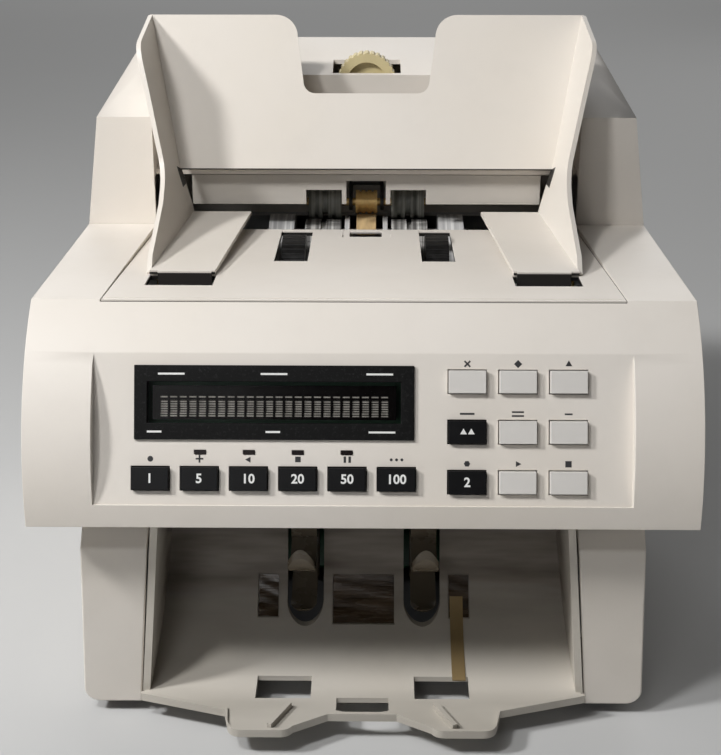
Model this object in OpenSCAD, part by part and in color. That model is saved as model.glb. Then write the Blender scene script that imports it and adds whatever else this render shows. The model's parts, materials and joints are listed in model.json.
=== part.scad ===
// Banknote counting machine: a table-top counter with a hopper on top and a pocket in front.
// Millimetres, +Z up, +X to the right, front towards -Y. The origin is on the table under the middle.

/* [Head] */
// Width of the head over its side faces
head_w = 280; // [274:1:288]
// Wall of the plastic mouldings
wall = 2.5; // [2.2:0.1:2.8]
// Height of the head's lower edge above the table
head_bottom_z = 101; // [100:0.5:102]
// Y of the head's lower front edge, measured like all Y values here from the feed axis of the layout
front_y = -124; // [-127:1:-122]
// Y of the crease between the convex front and the top
crease_y = -80; // [-82:1:-79]
// Height of that crease
crease_z = 186; // [185:0.5:188]
// Y of the head's rear edge, where the rear housing starts
shoulder_y = 54; // [53:0.5:55]
// Height of the head's top at its rear edge
shoulder_z = 180; // [179:0.5:181]
// Radius of the convex front
fascia_r = 99; // [97:0.5:106]

/* [Control panel] */
// Width of the head left on each side of the flat control panel
panel_side = 28.5; // [25:0.5:30]
// Height of the cut along its slope
panel_h = 65; // [60:1:66]
// Tilt of the panel from the vertical
panel_tilt = 22; // [20:0.5:24]
// Depth of the flat below the convex front, at its middle
panel_sink = 5.5; // [5:0.1:6]
// Width of the display bezel
bezel_w = 115.6; // [114:0.2:117]
// Height of the display bezel
bezel_h = 30.8; // [29:0.2:31.4]
// Width of the display window in the bezel
window_w = 104.8; // [100:0.2:106]
// Height of the display window in the bezel
window_h = 17.1; // [16:0.1:18]
// Spacing of the keys in the lower row
row_pitch = 20.35; // [19.8:0.05:20.6]
// Spacing of the keypad's columns
pad_pitch_u = 20.9; // [20:0.1:21.2]
// Spacing of the keypad's rows
pad_pitch_v = 20.75; // [20:0.05:21]
// Width of a key cap
key_w = 15.4; // [14.5:0.1:15.8]
// Height of a key cap
key_h = 9.4; // [9:0.1:9.8]
// Height of a key cap above the panel
key_rise = 2.2; // [1.8:0.1:3]
// Travel of a key
key_travel = 1.2; // [0.8:0.1:1.3]

/* [Feed deck] */
// Width of the head left on each side of the deck's front edge
deck_side = 29.5; // [28:0.5:31]
// Inset of the deck's rear corners from its front corners
deck_taper = 5; // [3:0.5:7]
// Height of the deck's rear edge, below the head's top
deck_rear_z = 177.8; // [177:0.1:178.5]

/* [Hopper] */
// Height of the top of the hopper's back panel
hopper_top_z = 279; // [272:1:284]
// Height of the bottom of the back panel
hopper_bottom_z = 208; // [207:0.5:210]
// Lean of the back panel from the vertical
hopper_lean = 24; // [22:0.5:26]
// Distance of a side wall's rear foot from the deck's rear corner
hopper_inset = 18.9; // [18:0.1:20]
// Outward lean of a side wall
wall_lean = 14; // [12:0.5:15]
// Angle by which a side wall opens towards the front
wall_open = 5; // [4:0.5:6]

/* [Rear housing] */
// Height of the front edge of the housing's cheeks
cheek_z = 234; // [230:1:236]
// Y of the crease in front of the housing's top
crown_y = 93; // [92:0.5:95]
// Height of that crease
crown_z = 248; // [246:1:250]
// Height of the housing's rear top edge
crown_rear_z = 258; // [254:1:261]
// Inset of the housing's top from the side of the head
crown_inset = 15; // [13:0.5:18]
// Radius of the top's side edges
crown_round = 9; // [6:0.5:11]
// Y of the housing's back face
rear_y = 150; // [149:1:154]

/* [Lower housing] */
// Inset of the lower housing's foot from the side of the head
pod_inset = 15.5; // [14:0.5:17]
// Width of a front face beside the pocket, at its foot
pod_face = 29.5; // [29:0.1:30.5]
// Y of the lower housing's front face
pod_y = -109; // [-111:0.5:-108]
// Radius of the lower housing's outer bottom edge
foot_round = 7; // [4:0.5:8]
// Height where the lower housing's front starts to slope back
pod_shoulder_z = 83; // [80:1:86]
// Height of the rubber feet under the base
foot_h = 5.5; // [4.5:0.1:6]

/* [Pocket] */
// Height of the pocket's floor
floor_z = 12; // [11.6:0.1:12.4]
// Radius of the sweep from the floor into the back
sweep_r = 60; // [58:0.5:61]
// Y where the floor turns into the sweep
sweep_y = -109; // [-110:0.5:-108]
// Distance by which a side of the pocket leans in at the head's underside
pocket_lean = 8; // [7:0.2:9]
// Reach of the two front lobes from the sweep
lobe_reach = 32; // [30:0.2:33]
// Height of the rim round the pocket's floor
rim_h = 1.2; // [0.8:0.1:2]

/* [Feed train] */
// Radius of the drive drum
drum_r = 28.5; // [28:0.1:28.8]
// Radius of the drum's grooved bands, where the guide wheels run
band_r = 26; // [25.8:0.1:26.2]
// Radius of the stripping wheels' raised sector
strip_r = 22.5; // [22:0.1:22.8]
// Distance of a stripping wheel's middle from the centre
strip_x = 34.7; // [34:0.1:35.2]
// Radius of the idler roll
idler_r = 6.2; // [5.9:0.1:6.4]
// Radius of the drive shafts
shaft_r = 4; // [3.8:0.1:4.2]
// Radial play of a shaft in its bush
shaft_play = 0.05; // [0.03:0.01:0.08]
// Radius of the stacker wheels over their blades
stacker_r = 47; // [45:0.5:48]
// Distance of a stacker wheel's middle from the centre
stacker_x = 28; // [27:0.5:29]
// Blades on each stacker wheel
stacker_blades = 7; // [6:1:8]
// Radius of the gap adjusting thumbwheel
thumb_r = 15; // [14:0.5:15.5]

/* [Hidden] */
$fn = 64;
eps = 0.01;
gap = 0.3;            // face-to-face clearance between separate mouldings
seat = 0.1;           // clearance of a piece seated in a hole
plate_t = 2.5;        // steel side plates
panel_w = head_w - 2 * panel_side;
deck_front_w = head_w - 2 * deck_side;
deck_rear_w = deck_front_w - 2 * deck_taper;
hopper_half_w = deck_rear_w / 2 - hopper_inset;
crown_w = head_w - 2 * crown_inset;
pod_w = head_w - 2 * pod_inset;
pocket_half_w = pod_w / 2 - pod_face;
pocket_top_half_w = pocket_half_w - pocket_lean;
plate_x = pocket_half_w + 6.5;  // inner face of a side plate
outboard_x = plate_x + plate_t + 2.5;  // inner face of the pulleys
belt_w = 6;
screw_head = 1.8;
// the layout's middle between its front lip and the screw heads at the back
mid_y = (rear_y + screw_head + sweep_y - lobe_reach) / 2;

function arc_centre(p, q, r) =
    let (m = (p + q) / 2, d = q - p, l = norm(d), h = sqrt(r * r - l * l / 4))
    m + h * [d[1], -d[0]] / l;
fascia_c = arc_centre([front_y, head_bottom_z], [crease_y, crease_z], fascia_r);
function top_z(y) = crease_z + (shoulder_z - crease_z) * (y - crease_y) / (shoulder_y - crease_y);
function deck_z(y) = crease_z + (deck_rear_z - crease_z) * (y - crease_y) / (shoulder_y - crease_y);

panel_n = fascia_r - panel_sink;       // distance of the flat from the front's centre
panel_up = 2.6;                        // the layout's middle above the flat's middle
panel_c = fascia_c + panel_n * [-cos(panel_tilt), sin(panel_tilt)]
    + panel_up * [sin(panel_tilt), cos(panel_tilt)];
bezel_c = [-36.6, 10];
row_first = [-87.7, -21.5];
pad_first = [43.1, 18.9];
led_pitch = 20.2;
led_first = [-67.1, -10.6];
board_n = -12;                         // level of the control board behind the panel
key_flange = 1;

deck_t = 2.5;
deck_rear_y = shoulder_y - 2;
wheel_window = [26.5, 42, -13.5, 48];  // x from, x to, y from, y to
slot_window = [hopper_half_w - 20.6, hopper_half_w + 9, -57, -38.6];
foot_plate_z = crease_z - 2;
foot_plate_t = 1.8;

panel_base_y = 56;                     // Y of the bottom of the hopper's back panel
hopper_t = 2.3;
slant = (hopper_top_z - hopper_bottom_z) / cos(hopper_lean);
function wall_x(y, z) = hopper_half_w - (y - panel_base_y) * tan(wall_open)
    + (z - foot_plate_z) * tan(wall_lean);

recess_half = hopper_half_w + 19.4;     // half width of the recess behind the hopper
throat_y = 63;
throat_z = 188;
shelf_z = 203.5;
throat_half = recess_half - 18;

drum_c = [78, 149];
strip_c = [26, 159.5];
roll_c = [20, 129.8];
roll_r = 12;
small_r = 6;
small_c = [20, 111];
guide_top_z = 117.2;
idler_lead = 15;                       // angle of the idler behind the drum's top
idler_c = drum_c + (drum_r + gap + idler_r) * [sin(idler_lead), cos(idler_lead)];
guide_r = drum_r + gap + idler_r - band_r - 0.4;
arm_pivot = [104, 194];
stacker_c = [-41, 66];
motor_c = [58, 50];
stack_motor_c = [22, 40];
pulley_r = 8;
motor_pulley_r = 7;
stack_pulley_r = 12;
thumb_c = [0, crown_z - 4.6];
sweep_c = [sweep_y, floor_z + sweep_r];
back_y = sweep_y + sweep_r;
slot_half = 8.5;                       // half width of a stacker wheel's slot
slot_x = stacker_x - 0.8;              // its middle, a little inboard of the wheel's
plate_rear_y = rear_y - 12;            // rear edge of the side plates and the supply
plate_top_z = shelf_z - 3.5;
supply_y = [plate_rear_y - 37, plate_rear_y];
board_x = plate_x - 9.5;
board_y = [plate_rear_y - 136, plate_rear_y - 40];

// ---------- helpers ----------
module box(x0, x1, y0, y1, z0, z1) { translate([x0, y0, z0]) cube([x1 - x0, y1 - y0, z1 - z0]); }
// A cylinder along X about the point c = [y, z].
module xcyl(r, x0, x1, c) { translate([x0, c[0], c[1]]) rotate([0, 90, 0]) cylinder(r = r, h = x1 - x0); }
module ycyl(r, y0, y1, x, z) { translate([x, y1, z]) rotate([90, 0, 0]) cylinder(r = r, h = y1 - y0); }
// Extrudes a side outline, given as [y, z], from x0 to x1.
module along_x(x0, x1) { translate([x0, 0, 0]) rotate([90, 0, 90]) linear_extrude(x1 - x0) children(); }
// Extrudes a front outline, given as [x, z], from y0 to y1.
module along_y(y0, y1) { translate([0, y1, 0]) rotate([90, 0, 0]) linear_extrude(y1 - y0) children(); }
// Moves a finished node so that the machine's middle is on the origin.
module home() { translate([0, -mid_y, 0]) children(); }
module both_sides() { children(); mirror([1, 0, 0]) children(); }
// Places children on the flat panel: x to the right, y up the slope, z outwards.
module on_panel(u = 0, v = 0) {
    translate([0, panel_c[0], panel_c[1]]) rotate([90 - panel_tilt, 0, 0]) translate([u, v, 0]) children();
}
module plate_uv(w, h, n0, n1) { translate([-w / 2, -h / 2, n0]) cube([w, h, n1 - n0]); }

// ---------- head ----------
module head_outline(inset) {
    far = front_y - 20;
    open = inset > 0 ? 5 : 0;
    intersection() {
        polygon([[far, head_bottom_z + inset], [shoulder_y + open, head_bottom_z + inset],
            [shoulder_y + open, top_z(shoulder_y + open) - inset], [far, top_z(far) - inset]]);
        union() {
            translate(fascia_c) circle(r = fascia_r - inset, $fn = 200);
            translate([fascia_c[0], 0]) square([300, 400]);
        }
    }
}

module deck_outline(grow) {
    f = deck_front_w / 2 + grow;
    r = deck_rear_w / 2 + grow;
    y0 = crease_y - 0.6 - grow;
    y1 = shoulder_y + (grow > 0 ? 1 : -2);
    polygon([[-f, y0], [f, y0], [r, y1], [-r, y1]]);
}

module key_places() {
    for (i = [0:5]) translate([row_first[0] + i * row_pitch, row_first[1], 0]) children();
    for (i = [0:2], j = [0:2])
        translate([pad_first[0] + i * pad_pitch_u, pad_first[1] - j * pad_pitch_v, 0]) children();
}

module head_cover() {
    color([0.85, 0.82, 0.78]) home() difference() {
        along_x(-head_w / 2, head_w / 2) head_outline(0);
        // the hollow, which leaves a wall behind the sunk flat
        difference() {
            along_x(-head_w / 2 + wall, head_w / 2 - wall) head_outline(wall);
            on_panel() plate_uv(panel_w + 2 * wall, panel_h + 2 * wall, -wall, 30);
        }
        on_panel() plate_uv(panel_w, panel_h, 0, 30);
        translate([0, 0, shoulder_z - 14]) linear_extrude(40) deck_outline(0.4);
        // open underside, inside a flange that rests on the lower housing
        box(-pod_w / 2 + 4, pod_w / 2 - 4, pod_y - 3, shoulder_y + 1, head_bottom_z - 1,
            head_bottom_z + wall + 1);
        on_panel() translate([bezel_c[0], bezel_c[1], 0])
            plate_uv(window_w + 4, window_h + 4, -wall - 1, 1);
        on_panel() key_places() plate_uv(key_w + 0.8, key_h + 0.8, -wall - 1, 1);
        on_panel() for (i = [0:3])
            translate([led_first[0] + i * led_pitch, led_first[1], 0]) plate_uv(5, 1.8, -wall - 1, 1);
    }
}

module feed_deck() {
    y0 = crease_y - 0.6;
    color([0.87, 0.84, 0.80]) home() difference() {
        union() {
            intersection() {
                along_x(-deck_front_w / 2, deck_front_w / 2)
                    polygon([[y0, deck_z(y0) - deck_t], [shoulder_y, deck_z(shoulder_y) - deck_t],
                        [shoulder_y, deck_z(shoulder_y)], [y0, deck_z(y0)]]);
                translate([0, 0, 100]) linear_extrude(120) deck_outline(0);
            }
            // turned-down front lip
            box(-plate_x + 8, plate_x - 8, crease_y + 1, crease_y + 3.5, crease_z - 9, crease_z - 1);
        }
        both_sides() {
            box(wheel_window[0], wheel_window[1], wheel_window[2], wheel_window[3], 150, 200);
            box(slot_window[0], slot_window[1], slot_window[2], slot_window[3], 150, 200);
        }
        // sensor slot and the step round it
        box(-8, 8, 38.5, 47.5, 150, 200);
        box(-11.5, 12.5, 35.5, deck_rear_y + 5, deck_z(40) - 0.5, 200);
        // shadow line behind the front edge
        box(-200, 200, crease_y + 1.7, crease_y + 2.5, crease_z - 0.65, 200);
    }
}

module display_bezel() {
    color([0.05, 0.05, 0.06]) home() on_panel() translate([bezel_c[0], bezel_c[1], 0]) difference() {
        union() {
            plate_uv(bezel_w, bezel_h, 0.05, 1.2);
            plate_uv(window_w + 3.6, window_h + 3.6, -wall - 1, 0.5);
        }
        plate_uv(window_w, window_h, -wall - 2, 3);
    }
}

module display_lens() {
    color([0.15, 0.13, 0.12, 0.8]) home() on_panel() translate([bezel_c[0], bezel_c[1], 0])
        plate_uv(window_w - 2 * seat, window_h - 2 * seat, -0.9, 0.7);
}

module display_tube() {
    cells = 24;
    cell = 3.97;
    tube_w = window_w - 4;
    color([0.3, 0.32, 0.3]) home() on_panel() translate([bezel_c[0], bezel_c[1], 0]) {
        difference() {
            plate_uv(tube_w, window_h - 3, board_n + 1.6 + eps, -1.2);
            for (i = [0:cells - 1])
                translate([(i - (cells - 1) / 2) * cell, -1, 0]) plate_uv(3, 6, -1.6, 0);
        }
    }
}

module control_board() {
    color([0.1, 0.35, 0.2]) home() on_panel() {
        difference() {
            plate_uv(panel_w - 12, panel_h - 10, board_n, board_n + 1.6);
            for (u = [-1, 1]) translate([u * (panel_w / 2 - 10), 0, board_n - 1]) cylinder(r = 1.6, h = 4);
        }
        // key domes
        key_places() translate([0, 0, board_n + 1.6 - eps]) cylinder(r = 2.6, h = 1.8);
        // stand-offs to the panel
        for (p = [[-1, 25], [-1, -6], [1, pad_first[1] - pad_pitch_v / 2],
                [1, pad_first[1] - 1.5 * pad_pitch_v]])
            translate([p[0] * (panel_w / 2 - 12), p[1], board_n + 1.6 - eps])
                cylinder(r = 2, h = -wall - board_n - 1.6 - gap);
    }
}

module led_lenses() {
    color([0.15, 0.05, 0.05]) home() on_panel() for (i = [0:3])
        translate([led_first[0] + i * led_pitch, led_first[1], 0]) {
            plate_uv(5 - 2 * seat, 1.8 - 2 * seat, -wall - 0.6, 0.3);
            plate_uv(6.5, 3, -wall - 1.1, -wall - 0.1);
        }
}

// A key: its cap passes through the panel, its flange stays behind it and its stem works a dome.
module key_at(u, v, tone) {
    color(tone) home() on_panel(u, v) {
        plate_uv(key_w, key_h, -wall - gap - key_flange, key_rise);
        plate_uv(key_w + 2.6, key_h + 2.6, -wall - gap - key_flange, -wall - gap);
        translate([0, 0, board_n + 3.4 + key_travel + gap])
            cylinder(r = 2, h = -wall - gap - board_n - 3.4 - key_travel - gap - key_flange / 2);
    }
}
KEY_BLACK = [0.08, 0.08, 0.09];
KEY_GREY = [0.80, 0.79, 0.76];
module row_key(i) { key_at(row_first[0] + i * row_pitch, row_first[1], KEY_BLACK); }
module pad_key(i, j, tone) {
    key_at(pad_first[0] + i * pad_pitch_u, pad_first[1] - j * pad_pitch_v, tone);
}

// ---------- hopper ----------
// Half of the back panel's outline, in its own plane: x and the distance up the slope.
function panel_half(t) = wall_x(panel_base_y + t * sin(hopper_lean), hopper_bottom_z + t * cos(hopper_lean)) + 1;
module panel_outline() {
    notch_t = slant * 0.49;
    notch_r = 6;
    mouth_r = 11;
    difference() {
        polygon([[-panel_half(0), 0], [panel_half(0), 0], [panel_half(slant), slant],
            [-panel_half(slant), slant]]);
        both_sides() {
            polygon([[-1, notch_t], [25.5, notch_t], [31.5, notch_t + notch_r],
                [34.5, slant - mouth_r], [34.5, slant + 1], [-1, slant + 1]]);
            translate([25.5, notch_t + notch_r]) circle(r = notch_r);
            // rounded mouth of the notch
            difference() {
                translate([34, slant - mouth_r]) square([mouth_r + 0.5, mouth_r + 1]);
                translate([34.5 + mouth_r, slant - mouth_r]) circle(r = mouth_r);
            }
        }
    }
}

// A side wall's outline as [y, z]: it is high at the back and sweeps forward to its foot.
function wall_outline() = [
    [panel_base_y + 2, foot_plate_z + 0.2], [panel_base_y + 2, hopper_bottom_z],
    [panel_base_y + slant * sin(hopper_lean) + 1, hopper_top_z], [52, hopper_top_z - 8],
    [47, hopper_top_z - 13], [41, 247], [35, 230], [30.7, 217], [23, 210], [9, 203], [-9, 197],
    [-30, 190], [-39, foot_plate_z + 1], [-39, foot_plate_z + 0.2]];

module hopper_wall() {
    translate([hopper_half_w, panel_base_y, foot_plate_z]) rotate([0, 0, wall_open])
        rotate([0, wall_lean, 0]) translate([0, -panel_base_y, -foot_plate_z])
        along_x(0, hopper_t) polygon([for (p = wall_outline())
            [p[0] - (p[1] - foot_plate_z) * tan(wall_lean) * sin(wall_open),
             foot_plate_z + (p[1] - foot_plate_z) / cos(wall_lean)]]);
}

module hopper() {
    foot_rear_y = panel_base_y + 1;
    color([0.86, 0.83, 0.79]) home() {
        translate([0, panel_base_y, hopper_bottom_z]) rotate([90 - hopper_lean, 0, 0])
            translate([0, 0, -hopper_t]) linear_extrude(hopper_t) panel_outline();
        both_sides() {
            hopper_wall();
            // foot plate on the deck, with a hook in front and a rib under its rear end
            translate([0, 0, foot_plate_z]) linear_extrude(foot_plate_t)
                polygon([[hopper_half_w - 20.1, -40], [hopper_half_w + 9.3, -40],
                    [hopper_half_w + 1, foot_rear_y], [hopper_half_w - 28.6, foot_rear_y]]);
            box(slot_window[0] + 2, slot_window[1] - 3.6, -41.5, -39.5, foot_plate_z - 6,
                foot_plate_z + foot_plate_t);
            box(hopper_half_w - 14.6, hopper_half_w - 10.6, 44, 50, deck_z(44) + gap, foot_plate_z + eps);
        }
    }
}

// ---------- rear housing ----------
module crown_slab(half, y0, y1, z) { box(-half, half, y0, y1, z - eps, z); }
module housing_block(inset) {
    w = head_w / 2 - inset;
    y1 = rear_y - inset;
    y0 = shoulder_y + gap;
    // the front is open below the shoulder, inside the head
    box(-w, w, y0 - (inset > 0 ? 3 : 0), y1, head_bottom_z + inset, shoulder_z - inset);
    hull() {
        crown_slab(w, y0 + inset, y1, shoulder_z - inset);
        crown_slab(w - 7, y0 + 2 + inset, y1, cheek_z - inset);
        both_sides() {
            crown_rod(crown_y, crown_y + 1, crown_z, inset);
            crown_rod(y1 - 2, y1 - 1, crown_rear_z, inset);
        }
    }
}
// One end of the crown's rounded side edge.
module crown_rod(y0, y1, z, inset) {
    ycyl(crown_round - inset, y0, y1, crown_w / 2 - crown_round, z - crown_round, $fn = 32);
}

module rear_housing() {
    vents = 8;
    color([0.83, 0.81, 0.77]) home() difference() {
        housing_block(0);
        difference() {
            housing_block(wall);
            // the walls of the recess behind the hopper
            box(-recess_half - wall, recess_half + wall, 0, crown_y + wall, shelf_z, 400);
        }
        box(-recess_half, recess_half, throat_y, crown_y, shelf_z + wall, 400);
        box(-recess_half, recess_half, 0, throat_y, 0, 400);
        // open underside, inside a flange that rests on the lower housing
        box(-pod_w / 2 + 4, pod_w / 2 - 4, 0, rear_y - 7, head_bottom_z - 1, head_bottom_z + wall + 1);
        // window of the thumbwheel
        along_y(crown_y + wall, crown_y + 21.5)
            polygon([[-17.5, crown_z - 6], [17.5, crown_z - 6], [17.5, 300], [-17.5, 300]]);
        // vents in the back
        for (i = [0:vents - 1]) box(-60 + i * 16, -50 + i * 16, rear_y - 5, rear_y + 5, 130, 160);
        both_sides() {
            for (p = back_screws) ycyl(1.6, rear_y - 5, rear_y + 5, p[0], p[1]);
        }
    }
}

module throat_wall() {
    half = throat_half;
    ear_x = 11;
    color([0.74, 0.72, 0.68]) home() difference() {
        union() {
            box(-half, half, throat_y, throat_y + wall, throat_z, shelf_z - gap);
            box(-half, half, throat_y, 114, shelf_z - gap - wall, shelf_z - gap);
            // ears of the idler bracket
            both_sides() box(ear_x, ear_x + 2.5, arm_pivot[0] - 5, arm_pivot[0] + 5, arm_pivot[1] - 5,
                shelf_z - gap - eps);
            // post of the thumbwheel
            box(-8, 8, 108, 112, shelf_z - gap - 1, thumb_c[1] + 6);
        }
        // windows of the idler and the guide wheels
        box(-10, 10, throat_y - 1, throat_y + wall + 1, throat_z - 1, 202.6 - wall);
        both_sides() box(12.3, 30.4, throat_y - 1, throat_y + wall + 1, throat_z - 1, 195.4);
        xcyl(2.5 + shaft_play, -20, 20, arm_pivot);
        ycyl(3 + shaft_play, 100, 120, thumb_c[0], thumb_c[1]);
    }
}

module thumbwheel() {
    knurls = 30;
    color([0.86, 0.80, 0.55]) home() difference() {
        union() {
            translate([thumb_c[0], 105.5, thumb_c[1]]) rotate([90, 0, 0]) linear_extrude(8) difference() {
                circle(r = thumb_r);
                for (i = [0:knurls - 1]) rotate(i * 360 / knurls) translate([thumb_r + 0.3, 0]) circle(r = 0.9, $fn = 16);
            }
            ycyl(5, 105, 107.7, thumb_c[0], thumb_c[1]);
            ycyl(3, 105, 118, thumb_c[0], thumb_c[1]);
            ycyl(5, 112.3, 115, thumb_c[0], thumb_c[1]);
        }
        ycyl(thumb_r - 5, 90, 100, thumb_c[0], thumb_c[1]);
    }
}

// ---------- lower housing and base ----------
module pod_outline() {
    top_half = pod_w / 2 - 1.5;
    difference() {
        polygon([[pocket_half_w + 4, foot_h], [pod_w / 2, foot_h], [top_half, head_bottom_z - 0.1],
            [pocket_top_half_w + 4, head_bottom_z - 0.1]]);
        // rounded lower corner
        difference() {
            translate([pod_w / 2 - foot_round, foot_h - 1]) square(foot_round + 1);
            translate([pod_w / 2 - foot_round - 0.05, foot_h + foot_round]) circle(r = foot_round);
        }
    }
}
module pod_right() {
    color([0.84, 0.81, 0.77]) home() difference() {
        along_y(pod_y, rear_y - 3) pod_outline();
        // hollow behind the front wall and inside the side wall
        along_y(pod_y + wall, rear_y)
            polygon([[0, -1], [pod_w / 2 - wall - foot_round, -1], [pod_w / 2 - wall - foot_round, foot_h],
                [pod_w / 2 - wall - 1.5, foot_h + foot_round - 1], [pod_w / 2 - wall, foot_h + foot_round + 5],
                [pod_w / 2 - 1.5 - wall, head_bottom_z + 5], [0, head_bottom_z + 5]]);
        // the top of the front face slopes back under the head
        along_x(0, 200) polygon([[pod_y - 1, pod_shoulder_z], [pod_y, pod_shoulder_z],
            [pod_y + 13, head_bottom_z], [pod_y + 13, head_bottom_z + 5], [pod_y - 1, head_bottom_z + 5]]);
    }
    // sloping top of the front face
    color([0.84, 0.81, 0.77]) home() intersection() {
        along_y(pod_y, rear_y - 3) pod_outline();
        along_x(0, 200) polygon([[pod_y, pod_shoulder_z - 4], [pod_y, pod_shoulder_z],
            [pod_y + 13, head_bottom_z], [pod_y + 13 + wall, head_bottom_z],
            [pod_y + wall, pod_shoulder_z - 4]]);
    }
}
module pod_left() { mirror([1, 0, 0]) pod_right(); }

back_screws = [[head_w / 2 - 15, head_bottom_z + 15], [crown_w / 2 - 7, cheek_z - 8]];
foot_x = pod_w / 2 - 16.5;
foot_places = [for (x = [-foot_x, foot_x], y = [pod_y + 21, rear_y - 22]) [x, y]];
base_screws = [for (x = [12.5 - pod_w / 2, pod_w / 2 - 12.5], y = [pod_y + 49, rear_y - 60]) [x, y]];
inlet_box = [37.5 - plate_x, 67.5 - plate_x, 22, 44];    // x from, x to, z from, z to
switch_box = [9.5 - plate_x, 27.5 - plate_x, 27, 40];
supply_x = [inlet_box[1] + 6, plate_x - 7.5];            // beside the inlet
module base_pan() {
    half = pod_w / 2 - wall - foot_round - gap;
    wide = pod_w / 2 - wall - gap;
    y1 = rear_y - 3 - wall;
    color([0.42, 0.43, 0.44]) home() difference() {
        union() {
            box(-half, half, back_y - 9, y1 + wall - gap, foot_h, foot_h + wall);
            both_sides() box(pocket_half_w + 4.6, half, pod_y + wall + gap, back_y - 8, foot_h, foot_h + wall);
            both_sides() along_y(y1, y1 + wall - gap)
                polygon([[-1, foot_h], [half, foot_h], [wide - 0.5, foot_h + foot_round + 6],
                    [wide - 1.5, head_bottom_z - 1], [-1, head_bottom_z - 1]]);
        }
        for (p = foot_places) translate([p[0], p[1], 0]) cylinder(r = 3, h = 20);
        box(inlet_box[0], inlet_box[1], y1 - 1, rear_y, inlet_box[2], inlet_box[3]);
        box(switch_box[0], switch_box[1], y1 - 1, rear_y, switch_box[2], switch_box[3]);
        for (i = [0:5]) box(10 + i * 14, 18 + i * 14, y1 - 1, rear_y, 20, 56);
        for (p = base_screws) translate([p[0], p[1], 0]) cylinder(r = 1.6, h = 20);
    }
}

module rubber_feet() {
    color([0.06, 0.06, 0.06]) home() for (p = foot_places) translate([p[0], p[1], 0]) {
        cylinder(r = 8, h = foot_h - 0.05);
        cylinder(r = 3 - seat, h = foot_h + wall + 1);
    }
}

module cover_screws() {
    color([0.7, 0.7, 0.72]) home() {
        for (p = base_screws) translate([p[0], p[1], 0]) {
            translate([0, 0, foot_h - screw_head]) cylinder(r = 3, h = screw_head);
            translate([0, 0, foot_h - 1]) cylinder(r = 1.5, h = 8);
        }
        for (p = back_screws) both_sides() {
            ycyl(3, rear_y, rear_y + screw_head, p[0], p[1]);
            ycyl(1.5, rear_y - 8, rear_y + 1, p[0], p[1]);
        }
    }
}

// A shaft's place in the side plates, and the bush radius there.
shaft_places = [drum_c, strip_c, roll_c, stacker_c];
bush_r = shaft_r + 2;
module side_plate_right() {
    color([0.6, 0.62, 0.64]) home() difference() {
        along_x(plate_x, plate_x + plate_t) polygon([[back_y - 8, foot_h + wall + 0.1],
            [plate_rear_y, foot_h + wall + 0.1], [plate_rear_y, plate_top_z], [throat_y + 1, plate_top_z],
            [throat_y + 1, deck_z(shoulder_y) - deck_t - 6], [shoulder_y - 4, deck_z(shoulder_y - 4) - deck_t - 0.1],
            [crease_y + 6, deck_z(crease_y + 6) - deck_t - 0.1], [crease_y + 6, head_bottom_z + 19],
            [back_y + 4.5, head_bottom_z + 1]]);
        for (c = shaft_places) xcyl(bush_r, plate_x - 5, plate_x + 10, c);
        xcyl(9, plate_x - 5, plate_x + 10, motor_c);
        xcyl(9, plate_x - 5, plate_x + 10, stack_motor_c);
    }
}
module side_plate_left() { mirror([1, 0, 0]) side_plate_right(); }

module shaft_bushes() {
    color([0.75, 0.6, 0.35]) home() both_sides() for (c = shaft_places) difference() {
        union() {
            xcyl(bush_r - 0.02, plate_x - 1, plate_x + plate_t + 1, c);
            xcyl(bush_r + 2, plate_x - 1.2, plate_x - 0.02, c);
        }
        xcyl(shaft_r + shaft_play, plate_x - 5, plate_x + 10, c);
    }
}

// ---------- pocket ----------
// Points on a rounded corner about c, from angle a0 to a1.
function corner(c, r, a0, a1) = [for (i = [0:4]) c + r * [cos(a0 + (a1 - a0) * i / 4), sin(a0 + (a1 - a0) * i / 4)]];
// Right half of the floor's front edge; grow moves it out.
function apron_edge(grow) = let (lobe = sweep_y - lobe_reach - grow, mid = lobe + 12, r = 6) concat(
    [[0, mid], [15 - grow / 2, mid]],
    corner([32 - grow / 2 + 3, lobe + r], r, 207, 270),
    corner([52, lobe + r], r, 270, 350 + grow),
    [[60 + grow, sweep_y - 17 - grow], [pocket_half_w + 3.2, sweep_y - 5 - grow]]);
module apron_outline(grow) {
    both_sides() polygon(concat(apron_edge(grow), [[pocket_half_w + 3.2, sweep_y + 2], [-1, sweep_y + 2],
        [-1, apron_edge(grow)[0][1]]]));
}
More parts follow.
